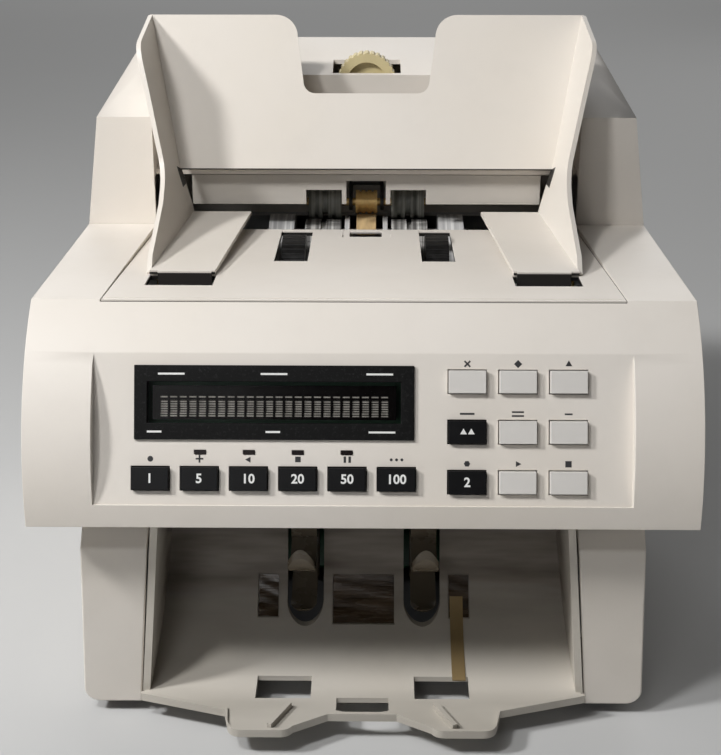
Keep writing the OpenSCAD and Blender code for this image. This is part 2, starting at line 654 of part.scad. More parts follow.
// The side outline of the space over the floor, or grown by t that of the shell's underside.
// The flats meet the sweep a hair inside its tangents, so that their faces cross cleanly.
module sweep_outline(t) {
    ease = 0.08;
    translate(sweep_c) {
        circle(r = sweep_r + t, $fn = 160);
        translate([-200, ease - sweep_r - t]) square([200, 200]);
        translate([-200, 0]) square([200 + sweep_r + t - ease, 200]);
    }
}
module pocket_front(o, i) {
    // front outline of the pocket's side, from outer offset o to inner offset i
    top = head_bottom_z - 3;
    polygon([[pocket_half_w + i, floor_z - wall], [pocket_half_w + o, floor_z - wall],
        [pocket_top_half_w + o, top], [pocket_top_half_w + i, top]]);
}
module slot_outline() {
    // stacker wheel's slot as a front outline: rounded below, open above
    translate([slot_x, floor_z + 20]) {
        circle(r = slot_half + 0.05);
        translate([-slot_half, 0]) square([2 * slot_half, 120]);
    }
}
module pocket_shell() {
    intersection() {
        along_x(-pocket_half_w - 15, pocket_half_w + 15) difference() {
            sweep_outline(wall);
            sweep_outline(0);
        }
        linear_extrude(head_bottom_z - 1) union() {
            apron_outline(-0.6);
            translate([-pocket_half_w - 2, sweep_y - 1]) square([2 * pocket_half_w + 4, 90]);
        }
        along_y(-200, 50) polygon([[-pocket_half_w - 2, 0], [pocket_half_w + 2, 0],
            [pocket_half_w + 2, floor_z], [pocket_top_half_w + 2, 101], [-pocket_top_half_w - 2, 101],
            [-pocket_half_w - 2, floor_z]]);
    }
}
module window_recess(x0, x1, z0) {
    intersection() {
        box(x0, x1, back_y - 30, back_y + 10, z0, floor_z + 30);
        along_x(x0 - 1, x1 + 1) sweep_outline(1.2);
    }
}
module pocket_tray() {
    color([0.80, 0.78, 0.74]) home() difference() {
        union() {
            pocket_shell();
            // upturned rim
            translate([0, 0, floor_z - wall]) linear_extrude(wall + rim_h) difference() {
                apron_outline(0);
                translate([0, 0.6]) apron_outline(-1.2);
                translate([-200, sweep_y - 3]) square([400, 20]);
            }
            both_sides() along_y(sweep_y - 0.5, back_y + wall - 0.5) pocket_front(3.2, 0);
            // lugs to the side plates
            both_sides() box(pocket_half_w - 3, plate_x - gap, back_y - 5, back_y + wall - 1, 40, 60);
            // ribs on the lobes
            both_sides() translate([31.9, sweep_y - 13.3, floor_z - 1]) rotate([0, 0, -64])
                translate([0, -1.1, 0]) cube([18, 2.2, 3.8]);
        }
        both_sides() {
            along_y(back_y - 40, back_y + 20) slot_outline();
            // recess of the window beside the slot
            window_recess(stacker_x + 11.5, stacker_x + 21.5, floor_z + 14);
            // holes in the floor
            box(23, 47.5, sweep_y - 6.5, sweep_y + 10, 0, floor_z + 4);
        }
        window_recess(-14.5, 14.5, floor_z + 12);
        // hole in the middle of the front edge
        linear_extrude(floor_z + 4) intersection() {
            translate([-11.5, sweep_y - 20]) square([23, 14]);
            translate([0, sweep_y + 14.4]) circle(r = 32);
        }
    }
}

module static_strip() {
    // a sprung metal strip that lies on the sweep
    x0 = 40.3;
    color([0.72, 0.62, 0.38]) home() intersection() {
        along_x(x0, x0 + 6) translate(sweep_c) difference() {
            circle(r = sweep_r - 0.05, $fn = 160);
            circle(r = sweep_r - 0.65, $fn = 160);
        }
        along_x(x0 - 1, x0 + 7) translate(sweep_c)
            polygon([[0, 0], 80 * [sin(7), -cos(7)], 80 * [sin(30), -cos(30)], 80 * [sin(50), -cos(50)]]);
    }
}

// ---------- feed train ----------
module toothed_disc(r, teeth, depth) {
    difference() {
        circle(r = r);
        for (i = [0:teeth - 1]) rotate(i * 360 / teeth) translate([r + depth, 0]) circle(r = 2 * depth, $fn = 16);
    }
}
module pulley(r, x0, c) {
    along_x(x0, x0 + belt_w + 1) translate(c) toothed_disc(r, 2 * r, 0.5);
    xcyl(r + 1.5, x0 + belt_w + 1, x0 + belt_w + 2, c);
}

core_r = 21;
module drive_drum() {
    color([0.75, 0.76, 0.78]) home() difference() {
        union() {
            xcyl(core_r, -52, 52, drum_c);
            both_sides() xcyl(drum_r, 37, 50, drum_c);
            both_sides() xcyl(drum_r - 1, 8.6, 11, drum_c);
        }
        xcyl(shaft_r + 0.02, -60, 60, drum_c);
    }
}
module drum_bands() {
    // rubber sleeves: one smooth in the middle and a toothed, grooved pair beside it
    color([0.55, 0.5, 0.4]) home() difference() {
        union() {
            xcyl(drum_r, -5, 5, drum_c);
            both_sides() for (x = [13, 23.5]) along_x(x, x + 8) translate(drum_c) toothed_disc(band_r, 30, 0.6);
            both_sides() xcyl(band_r - 1.6, 20, 24, drum_c);
        }
        xcyl(core_r + 0.02, -60, 60, drum_c);
    }
}
module drum_shaft() {
    color([0.7, 0.71, 0.73]) home() {
        xcyl(shaft_r, -plate_x - 7, outboard_x + belt_w + 4, drum_c);
        pulley(pulley_r, outboard_x, drum_c);
        // encoder disc on the left end
        xcyl(16, -plate_x - 6, -plate_x - 5, drum_c);
    }
}

module stripping_wheels() {
    half = 5.6;
    color([0.07, 0.07, 0.07]) home() both_sides() difference() {
        union() {
            xcyl(strip_r - 1.2, strip_x - half, strip_x + half, strip_c);
            // raised serrated sector
            intersection() {
                along_x(strip_x - half, strip_x + half) translate(strip_c) toothed_disc(strip_r, 48, 0.35);
                along_x(strip_x - half, strip_x + half) translate(strip_c)
                    polygon([[0, 0], 60 * [cos(40), sin(40)], [0, 60], 60 * [cos(140), sin(140)]]);
            }
        }
        xcyl(shaft_r + 0.02, 0, 80, strip_c);
        for (a = [0:60:300]) xcyl(3.2, 0, 80, strip_c + 13 * [cos(a), sin(a)]);
    }
}
module stripping_shaft() {
    color([0.7, 0.71, 0.73]) home() {
        xcyl(shaft_r, -plate_x - 5, outboard_x + belt_w + 4, strip_c);
        pulley(pulley_r, outboard_x, strip_c);
    }
}

module idler_roll() {
    color([0.80, 0.62, 0.25]) home() {
        difference() {
            xcyl(idler_r, -5.6, 5.6, idler_c);
            for (x = [-3.2, 0, 3.2]) difference() {
                xcyl(idler_r + 1, x - 0.6, x + 0.6, idler_c);
                xcyl(idler_r - 0.8, x - 1, x + 1, idler_c);
            }
        }
        xcyl(2, -31, 31, idler_c);
    }
}
module guide_wheels() {
    color([0.35, 0.36, 0.34]) home() both_sides() difference() {
        xcyl(guide_r, 13, 30, idler_c);
        for (x = [17, 26]) difference() {
            xcyl(guide_r + 1, x - 1, x + 1, idler_c);
            xcyl(guide_r - 1.2, x - 2, x + 2, idler_c);
        }
        difference() {
            xcyl(guide_r + 1, 20, 23, idler_c);
            xcyl(guide_r - 2.5, 19, 24, idler_c);
        }
        xcyl(2.02, 0, 40, idler_c);
    }
}
module idler_bracket() {
    cheek_x = 7.2;
    color([0.05, 0.05, 0.05]) home() {
        difference() {
            both_sides() along_x(cheek_x, cheek_x + 1.8) hull() {
                translate(idler_c) circle(r = 4.5, $fn = 32);
                translate(arm_pivot) circle(r = 4.5, $fn = 32);
            }
            xcyl(2 + shaft_play, -20, 20, idler_c);
        }
        xcyl(2.5, -13.5, 13.5, arm_pivot);
        // bar that joins the cheeks
        box(-cheek_x - 0.5, cheek_x + 0.5, arm_pivot[0] - 6.5, arm_pivot[0] - 4.5, arm_pivot[1] - 5,
            arm_pivot[1] + 1);
    }
}

module curved_guide() {
    inner = drum_r + 3;
    color([0.5, 0.5, 0.5]) home() intersection() {
        along_x(-plate_x + gap, plate_x - gap) translate(drum_c) difference() {
            circle(r = inner + 2, $fn = 120);
            circle(r = inner, $fn = 120);
        }
        along_x(-120, 120) translate(drum_c)
            polygon([[0, 0], [2, -70], [90, -70], [90, 60], 90 * [cos(46), sin(46)]]);
    }
}
module guide_plate() {
    front = -14;
    color([0.66, 0.67, 0.68]) home() difference() {
        union() {
            box(-plate_x + gap, plate_x - gap, front, drum_c[0], guide_top_z - 2.2, guide_top_z);
            // turned-down front edge
            box(-plate_x + gap, plate_x - gap, front, front + 2, guide_top_z - 9, guide_top_z - 1);
            // ears of the small rolls
            both_sides() box(35, 38, small_c[0] - 4, small_c[0] + 4, small_c[1] - 5, guide_top_z - 1);
        }
        both_sides() box(5, 32, small_c[0] - 8, small_c[0] + 8, guide_top_z - 5, guide_top_z + 1);
        xcyl(2 + shaft_play, -60, 60, small_c);
    }
}
module scan_heads() {
    color([0.12, 0.13, 0.15]) home() {
        half = plate_x - 17.5;
        box(-half, half, 33.5, 52, guide_top_z + 2.2, guide_top_z + 13);
        both_sides() box(half - 1, plate_x - gap, 38, 46, guide_top_z + 8, guide_top_z + 13);
        box(-half, half, 33.5, 52, guide_top_z - 13, guide_top_z - 2.4);
        both_sides() box(half - 1, plate_x - gap, 38, 46, guide_top_z - 13, guide_top_z - 8);
    }
}
module transport_rolls() {
    color([0.2, 0.2, 0.2]) home() {
        both_sides() xcyl(roll_r, 6, 24, roll_c);
        xcyl(shaft_r, -plate_x - 5, outboard_x + belt_w + 4, roll_c);
        pulley(pulley_r, outboard_x, roll_c);
    }
}
module passive_rolls() {
    color([0.3, 0.3, 0.3]) home() {
        both_sides() xcyl(small_r, 8, 22, small_c);
        xcyl(2, -39, 39, small_c);
    }
}

// One stacker wheel: curved blades that leave the hub and bend back to their tips.
module stacker_wheel_outline() {
    bend = stacker_r * 0.54;
    blade_t = 1.6;
    union() {
        circle(r = 12);
        for (i = [0:stacker_blades - 1]) rotate(i * 360 / stacker_blades) intersection() {
            translate([bend, 0]) difference() {
                circle(r = bend + blade_t / 2);
                circle(r = bend - blade_t / 2);
            }
            square([2 * bend, 2 * bend]);
            circle(r = stacker_r);
        }
    }
}
module stacker_wheels() {
    half = 6;
    color([0.55, 0.53, 0.48]) home() both_sides() difference() {
        intersection() {
            along_x(stacker_x - half, stacker_x + half) translate(stacker_c) stacker_wheel_outline();
            // rounded tips of the blades
            translate([stacker_x, stacker_c[0], stacker_c[1]]) rotate([0, 90, 0]) rotate_extrude() {
                translate([0, -half - 1]) square([stacker_r - half, 2 * half + 2]);
                translate([stacker_r - half - 0.5, 0]) circle(r = half + 0.5);
            }
        }
        xcyl(shaft_r + 0.02, 0, 60, stacker_c);
    }
}
module stacker_shaft() {
    color([0.7, 0.71, 0.73]) home() {
        xcyl(shaft_r, -outboard_x - belt_w - 4, plate_x + 5, stacker_c);
        mirror([1, 0, 0]) pulley(stack_pulley_r, outboard_x, stacker_c);
    }
}

module motor_can(r, len, c) {
    // can, end boss and terminals, with its face against the plate
    xcyl(r, plate_x - gap - len, plate_x - gap, c);
    xcyl(r * 0.35, plate_x - gap - len - 4, plate_x - gap - len + 1, c);
    box(plate_x - gap - len - 6, plate_x - gap - len + 1, c[0] - 6, c[0] - 3, c[1] + r * 0.5, c[1] + r * 0.5 + 4);
}
module main_motor() { color([0.25, 0.26, 0.28]) home() motor_can(24, 62, motor_c); }
module stacker_motor() { color([0.25, 0.26, 0.28]) home() mirror([1, 0, 0]) motor_can(16, 42, stack_motor_c); }
module motor_spindle(c) {
    xcyl(2.5, plate_x - gap + 0.1, outboard_x + belt_w + 3, c);
    pulley(motor_pulley_r, outboard_x, c);
}
module motor_pulley() { color([0.8, 0.8, 0.8]) home() motor_spindle(motor_c); }
module stacker_motor_pulley() { color([0.8, 0.8, 0.8]) home() mirror([1, 0, 0]) motor_spindle(stack_motor_c); }

module belt_loop(grow, circles) {
    hull() for (c = circles) translate(c[0]) circle(r = c[1] + grow, $fn = 32);
}
module timing_belts() {
    main_run = [[motor_c, motor_pulley_r], [roll_c, pulley_r], [strip_c, pulley_r], [drum_c, pulley_r]];
    stack_run = [[stack_motor_c, motor_pulley_r], [stacker_c, stack_pulley_r]];
    color([0.08, 0.08, 0.08]) home() {
        along_x(outboard_x + 0.5, outboard_x + 0.5 + belt_w - 1) difference() {
            belt_loop(1.6, main_run);
            belt_loop(gap, main_run);
        }
        mirror([1, 0, 0]) along_x(outboard_x + 0.5, outboard_x + 0.5 + belt_w - 1) difference() {
            belt_loop(1.6, stack_run);
            belt_loop(gap, stack_run);
        }
    }
}

// ---------- electrics ----------
module power_supply() {
    z0 = foot_h + wall + 6;
    color([0.72, 0.73, 0.74]) home() {
        difference() {
            box(supply_x[0], supply_x[1], supply_y[0], supply_y[1], z0, z0 + 44);
            for (i = [0:floor((supply_x[1] - supply_x[0] - 10) / 12) - 1])
                translate([supply_x[0] + 6 + i * 12, supply_y[0] + 5, z0 + 40]) cube([6, 27, 10]);
        }
        for (x = [supply_x[0] + 8, supply_x[1] - 8])
            translate([x, (supply_y[0] + supply_y[1]) / 2, foot_h + wall + 0.05]) cylinder(r = 4, h = 6);
    }
}
module main_board() {
    z0 = foot_h + wall + 4;
    color([0.1, 0.35, 0.2]) home() {
        box(-board_x, board_x, board_y[0], board_y[1], z0, z0 + 1.6);
        // condensers and a connector
        for (x = [-70, -40, -10]) box(x, x + 18, board_y[1] - 28, board_y[1] - 10, z0 + 1.5, z0 + 5);
        box(-20, 20, board_y[0] + 6, board_y[0] + 16, z0 + 1.5, z0 + 10);
        for (x = [8 - board_x, board_x - 8], y = [board_y[0] + 8, board_y[1] - 8])
            translate([x, y, foot_h + wall + 0.05]) cylinder(r = 3, h = 4);
    }
}
module power_inlet() {
    y1 = rear_y - 3 - wall;
    color([0.06, 0.06, 0.06]) home() difference() {
        union() {
            box(inlet_box[0] + seat, inlet_box[1] - seat, y1 - 18, rear_y - 1.5, inlet_box[2] + seat, inlet_box[3] - seat);
            box(inlet_box[0] - 4, inlet_box[1] + 4, rear_y - 3 - gap + 0.05, rear_y - 1.5, inlet_box[2] - 3, inlet_box[3] + 3);
        }
        box(inlet_box[0] + 3, inlet_box[1] - 3, y1 - 10, rear_y + 5, inlet_box[2] + 3, inlet_box[3] - 3);
    }
    color([0.75, 0.7, 0.5]) home() for (x = [-7, 0, 7])
        box((inlet_box[0] + inlet_box[1]) / 2 + x - 1, (inlet_box[0] + inlet_box[1]) / 2 + x + 1, y1 - 12, y1 - 2,
            31, 35);
}
module power_switch() {
    // a rocker that turns about X in its hole
    c = [rear_y - 8, (switch_box[2] + switch_box[3]) / 2];
    color([0.05, 0.05, 0.05]) home() intersection() {
        xcyl(6.4, switch_box[0] + gap, switch_box[1] - gap, c);
        box(switch_box[0], switch_box[1], rear_y - 13, rear_y + 2, c[1] - 5.4, c[1] + 5.4);
    }
}

base_pan();
side_plate_left();
side_plate_right();
pod_left();
pod_right();
rear_housing();
head_cover();
feed_deck();
throat_wall();
hopper();
pocket_tray();
static_strip();
display_bezel();
display_lens();
display_tube();
control_board();
led_lenses();
row_key(0);  // key_1
row_key(1);  // key_5
row_key(2);  // key_10
row_key(3);  // key_20
row_key(4);  // key_50
row_key(5);  // key_100
pad_key(0, 0, KEY_GREY);  // pad_key_a1
pad_key(0, 1, KEY_BLACK);  // pad_key_a2
pad_key(0, 2, KEY_BLACK);  // pad_key_a3
pad_key(1, 0, KEY_GREY);  // pad_key_b1
pad_key(1, 1, KEY_GREY);  // pad_key_b2
pad_key(1, 2, KEY_GREY);  // pad_key_b3
pad_key(2, 0, KEY_GREY);  // pad_key_c1
pad_key(2, 1, KEY_GREY);  // pad_key_c2
pad_key(2, 2, KEY_GREY);  // pad_key_c3
drive_drum();
drum_bands();
drum_shaft();
stripping_wheels();
stripping_shaft();
idler_roll();
guide_wheels();
idler_bracket();
curved_guide();
guide_plate();
scan_heads();
transport_rolls();
passive_rolls();
stacker_wheels();
stacker_shaft();
main_motor();
motor_pulley();
stacker_motor();
stacker_motor_pulley();
timing_belts();
power_supply();
main_board();
power_inlet();
power_switch();
rubber_feet();
thumbwheel();
shaft_bushes();
cover_screws();
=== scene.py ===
"""Looks of the banknote counting machine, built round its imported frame. Metres, front towards -Y."""
import json
import math

import bmesh
import bpy
from mathutils import Matrix, Vector


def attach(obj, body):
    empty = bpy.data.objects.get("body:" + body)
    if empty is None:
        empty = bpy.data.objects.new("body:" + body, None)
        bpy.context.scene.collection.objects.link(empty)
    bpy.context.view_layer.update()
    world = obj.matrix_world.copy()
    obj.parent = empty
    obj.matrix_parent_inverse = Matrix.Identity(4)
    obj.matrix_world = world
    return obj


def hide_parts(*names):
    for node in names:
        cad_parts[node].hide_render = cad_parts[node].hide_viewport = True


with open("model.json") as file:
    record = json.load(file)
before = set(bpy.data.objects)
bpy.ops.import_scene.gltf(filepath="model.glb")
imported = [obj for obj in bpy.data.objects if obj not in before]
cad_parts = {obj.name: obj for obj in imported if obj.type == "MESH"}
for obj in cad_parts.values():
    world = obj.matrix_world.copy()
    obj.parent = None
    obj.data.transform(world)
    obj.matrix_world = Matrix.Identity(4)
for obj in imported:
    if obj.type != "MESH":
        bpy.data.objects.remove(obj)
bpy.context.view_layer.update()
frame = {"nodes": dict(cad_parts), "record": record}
NODES = frame["nodes"]
SUBPARTS = frame["record"]["subparts"]
SLOT = {part["node"]: part["material_slot"] for part in SUBPARTS}
BODY = {node: body for body, nodes in frame["record"]["behaviour"]["bodies"].items() for node in nodes}

# ---------------------------------------------------------------- the machine's own sizes, in mm of its layout
MM = 0.001
MID = 5.4                                   # the layout's y = 5.4 lies on the origin
CREASE_Y, CREASE_Z = -80.0, 186.0           # the deck's front edge
DECK_FALL = 8.2 / 134.0                     # the deck falls towards the back
DECK_HALF_W = 113.5                         # half the width of the head's opening for the deck
FOOT_FRONT_Y = -39.7                        # front of the hopper's feet
PANEL_BASE_Y, HOPPER_BOTTOM_Z = 56.0, 208.0
HOPPER_LEAN = math.radians(24.0)            # the hopper's back panel leans back
HOPPER_WALL = 2.3
LIP_TOP_Z = 15.2                            # the pocket's floor and lip lie under this
SWEEP_Y, SWEEP_Z, SWEEP_R = -109.0, 72.0, 60.0      # middle and radius of the pocket's sweep
POD_LEAN = 2.4                              # the lower housings' outer walls lean in by this at most
TILT = math.radians(22)                     # the flat control panel leans back
PANEL = Vector((0, (-110.76 - MID) * MM, 141.10 * MM))     # its middle
DISPLAY_U, CELLS, CELL_PITCH = -36.6, 24, 3.97      # the display's middle, cells and their pitch
KEY_TOP = 2.2                               # the keys' faces over the panel
BEZEL_TOP = 1.2


# ---------------------------------------------------------------- shader helpers
class Value:
    """A socket that can be used in Python expressions: each operator adds a Math node."""

    def __init__(self, tree, socket):
        self.tree, self.socket = tree, socket

    def math(self, operation, *others, swap=False):
        node = self.tree.nodes.new("ShaderNodeMath")
        node.operation = operation
        terms = (self,) + others
        if swap:
            terms = terms[::-1]
        for slot, term in zip(node.inputs, terms):
            if isinstance(term, Value):
                self.tree.links.new(term.socket, slot)
            else:
                slot.default_value = term
        return Value(self.tree, node.outputs[0])

    def __add__(self, other): return self.math("ADD", other)
    def __radd__(self, other): return self.math("ADD", other)
    def __sub__(self, other): return self.math("SUBTRACT", other)
    def __rsub__(self, other): return self.math("SUBTRACT", other, swap=True)
    def __mul__(self, other): return self.math("MULTIPLY", other)
    def __rmul__(self, other): return self.math("MULTIPLY", other)
    def __truediv__(self, other): return self.math("DIVIDE", other)
    def __rtruediv__(self, other): return self.math("DIVIDE", other, swap=True)
    def __gt__(self, other): return self.math("GREATER_THAN", other)
    def __lt__(self, other): return self.math("LESS_THAN", other)
    def abs(self): return self.math("ABSOLUTE")
    def fract(self): return self.math("FRACT")
    def clamp(self, low, high): return self.math("MAXIMUM", low).math("MINIMUM", high)


class Finish:
    """One material with a Principled shader and the object's own coordinates at hand."""

    def __init__(self, name, color, roughness=0.5, metallic=0.0, **fixed):
        self.material = bpy.data.materials.new(name)
        self.material.use_nodes = True
        self.tree = self.material.node_tree
        self.shader = self.tree.nodes["Principled BSDF"]
        self.set("Base Color", (*color, 1.0))
        self.set("Roughness", roughness)
        self.set("Metallic", metallic)
        for key, value in fixed.items():
            self.set(key.replace("_", " "), value)
        self.place = self.tree.nodes.new("ShaderNodeTexCoord").outputs["Object"]
        split = self.add("ShaderNodeSeparateXYZ", {}, {"Vector": self.place})
        self.x, self.y, self.z = (Value(self.tree, split.outputs[i]) for i in range(3))

    def set(self, name, value):
        self.shader.inputs[name].default_value = value

    def fill(self, slot, value):
        """Links a socket to a value that varies, or sets it to a fixed one."""
        if isinstance(value, Value):
            self.tree.links.new(value.socket, slot)
        elif isinstance(value, bpy.types.NodeSocket):
            self.tree.links.new(value, slot)
        else:
            slot.default_value = value

    def add(self, kind, settings, inputs):
        node = self.tree.nodes.new(kind)
        for key, value in settings.items():
            setattr(node, key, value)
        for key, value in inputs.items():
            self.fill(node.inputs[key], value)
        return node

    def noise(self, scale, detail=3.0, rough=0.5, stretch=None):
        vector = self.place
        if stretch:
            vector = self.add("ShaderNodeMapping", {}, {"Vector": vector, "Scale": stretch}).outputs[0]
        node = self.add("ShaderNodeTexNoise", {}, {"Vector": vector, "Scale": scale, "Detail": detail, "Roughness": rough})
        return Value(self.tree, node.outputs["Fac"])

    def cells(self, scale):
        node = self.add("ShaderNodeTexVoronoi", {}, {"Vector": self.place, "Scale": scale})
        return Value(self.tree, node.outputs["Distance"])

    def mix(self, factor, first, second):
        """A colour between two others, each a tuple or a colour socket."""
        first, second = ((*c, 1.0) if isinstance(c, tuple) else c for c in (first, second))
        factor_slot, first_slot, second_slot = 0, 6, 7      # the Mix node's sockets for colours
        return self.add("ShaderNodeMix", {"data_type": "RGBA"},
                        {factor_slot: factor, first_slot: first, second_slot: second}).outputs[2]

    def feed(self, name, value):
        self.fill(self.shader.inputs[name], value)

    def bump(self, height, strength, distance):
        node = self.add("ShaderNodeBump", {}, {"Height": height, "Strength": strength, "Distance": distance})
        self.feed("Normal", node.outputs[0])

    def shadow(self, mask, color):
        """Darkens the finish where the mask is 1, such as in a slot or under an edge."""
        self.feed("Base Color", self.mix(mask, self.shader.inputs["Base Color"].links[0].from_socket, color))


def shade(color, factor, lift=0.0):
    return tuple(min(1.0, c * factor + lift) for c in color)


# ---------------------------------------------------------------- kinds of finish
def moulded(name, color, roughness=0.5, mottle=0.05, grime=0.10):
    """Spark-eroded ABS: fine pebble grain, slow yellowing, faint grime, uneven gloss."""
    f = Finish(name, color, roughness, Specular_IOR_Level=0.42)
    slow, cloud = f.noise(9.0), f.noise(38.0, 4.0, 0.6)
    yellowed = (color[0] * 0.985, color[1] * 0.955, color[2] * 0.90)
    aged = f.mix((slow - 0.35).clamp(0, 1) * 1.4, shade(color, 1.0 + mottle), yellowed)
    f.feed("Base Color", f.mix((cloud - 0.52).clamp(0, 1) * 2.0 * grime, aged, shade(color, 0.45)))
    f.feed("Roughness", (roughness - 0.07) + cloud * 0.16)
    f.bump(f.cells(1900.0) + f.noise(4200.0, 2.0) * 0.6, 0.22, 0.00004)
    return f


def satin(name, color, roughness=0.38, dust=1.0, **fixed):
    """Smooth moulded plastic or ink with faint handling marks."""
    f = Finish(name, color, roughness, **fixed)
    rub = f.noise(160.0, 5.0, 0.65)
    f.feed("Base Color", f.mix((rub - 0.5).clamp(0, 1) * 0.9 * dust, color, shade(color, 1.2, 0.012)))
    f.feed("Roughness", (roughness - 0.08) + rub * 0.2)
    f.bump(f.noise(2600.0), 0.2, 0.00002)
    return f


def metal(name, color, roughness, stretch, metallic=1.0):
    """Machined or drawn metal: its lines run along the axis that the stretch leaves short."""
    f = Finish(name, color, roughness, metallic)
    lines, spots = f.noise(900.0, 3.0, 0.6, stretch), f.noise(60.0, 4.0)
    f.feed("Base Color", f.mix((spots - 0.4).clamp(0, 1) * 0.8, color, shade(color, 0.78)))
    f.feed("Roughness", (roughness - 0.06) + lines * 0.12 + spots * 0.06)
    f.bump(lines, 0.3, 0.00001)
    return f


def rubbery(name, color, roughness):
    """Soft black rubber with dust in its pores."""
    f = Finish(name, color, roughness, Specular_IOR_Level=0.3)
    dust = f.noise(240.0, 5.0, 0.7)
    f.feed("Base Color", f.mix((dust - 0.5).clamp(0, 1) * 1.2, color, shade(color, 1.5, 0.03)))
    f.feed("Roughness", (roughness - 0.1) + dust * 0.2)
    f.bump(f.noise(3000.0), 0.25, 0.00003)
    return f


def ringed(name, light, dark, roughness, metallic):
    """A turned or moulded roll: fine rings round its axis, along X, of two tones."""
    f = Finish(name, light, roughness, metallic)
    wide, fine = f.noise(420.0, 2.0, 0.5, (1, 0, 0)), f.noise(2200.0, 2.0, 0.6, (1, 0, 0))
    streak = f.noise(90.0, 3.0, 0.6)
    f.feed("Base Color", f.mix(((wide - 0.42) * 4.0 + (fine - 0.5) * 1.2).clamp(0, 1), dark, light))
    f.feed("Roughness", (roughness - 0.08) + fine * 0.1 + streak * 0.1)
    f.bump(fine + wide, 0.25, 0.00004)
    return f


def drum_rubber():
    """The drum's sleeves: tan in the middle, worn grey and ribbed beside it."""
    f = ringed("band", (0.62, 0.61, 0.58), (0.10, 0.095, 0.09), 0.55, 0.0)
    side = f.shader.inputs["Base Color"].links[0].from_socket
    darker = (f.noise(300.0, 3.0, 0.6, (1, 0.2, 0.2)) - 0.3).clamp(0, 1) * 1.6
    middle = f.mix(darker, (0.62, 0.44, 0.22), (0.26, 0.17, 0.09))
    f.feed("Base Color", f.mix(f.x.abs() < 6.0 * MM, side, middle))
    return f


def crackled(name, color):
    """Black plastic with a coarse crackle in its surface."""
    f = Finish(name, color, 0.45, Specular_IOR_Level=0.16)
    fleck = f.noise(900.0, 3.0, 0.7)
    f.feed("Base Color", f.mix((fleck - 0.55).clamp(0, 1) * 3.0, color, shade(color, 1.0, 0.035)))
    f.feed("Roughness", fleck * 0.3 + 0.3)
    f.bump(fleck, 0.35, 0.00012)
    return f


def brown_film():
    """Brown film over a sensor's window, creased across."""
    f = Finish("film", (0.05, 0.036, 0.026), 0.3, Coat_Weight=0.15, Coat_Roughness=0.2)
    crease = f.noise(75.0, 4.0, 0.55, (0.35, 1, 2.6))
    f.feed("Base Color", f.mix((crease - 0.35).clamp(0, 1) * 1.8, (0.035, 0.022, 0.013), (0.17, 0.115, 0.07)))
    f.feed("Roughness", crease * 0.35 + 0.1)
    f.bump(crease, 0.8, 0.0012)
    return f


def display_glass():
    """The display's glass: 24 cells of fine dots that aren't lit, over a strip of dim marks."""
    f = Finish("tube", (0.02, 0.017, 0.014), 0.22, Specular_IOR_Level=0.12)
    # height up the panel's slope, and cells counted from the left
    up = (f.y - PANEL.y) * math.sin(TILT) + (f.z - PANEL.z) * math.cos(TILT)
    across = (f.x - (DISPLAY_U - CELLS / 2 * CELL_PITCH) * MM) / (CELL_PITCH * MM)
    within = across.fract()
    inside = (across > 0.0) * (across < float(CELLS))
    cell = (within > 0.14) * (within < 0.86)
    column = 1.0 - ((within * 5.0).fract() < 0.12) * 0.35
    row = ((up / (0.98 * MM)).fract() - 0.5).abs() < 0.30
    band = (up > 3.9 * MM) * (up < 12.6 * MM) * (1.0 - (up > 11.0 * MM) * (up < 11.7 * MM))
    strip = (up > 1.5 * MM) * (up < 2.9 * MM) * (1.0 - (within > 0.3) * (within < 0.75) * (up > 2.2 * MM))
    dots = inside * cell * column * ((band * row) + strip * 0.5)
    warm = f.noise(260.0)
    f.feed("Base Color", f.mix(dots * (0.3 + warm * 0.9), (0.003, 0.002, 0.002), (0.52, 0.49, 0.44)))
    return f


# ---------------------------------------------------------------- this machine's finishes
BEIGE = (0.70, 0.655, 0.60)
DEEP_SHADOW = (0.02, 0.018, 0.016)
ALONG_X, ROUND_X = (1, 60, 60), (60, 1, 1)      # which way a metal's lines run

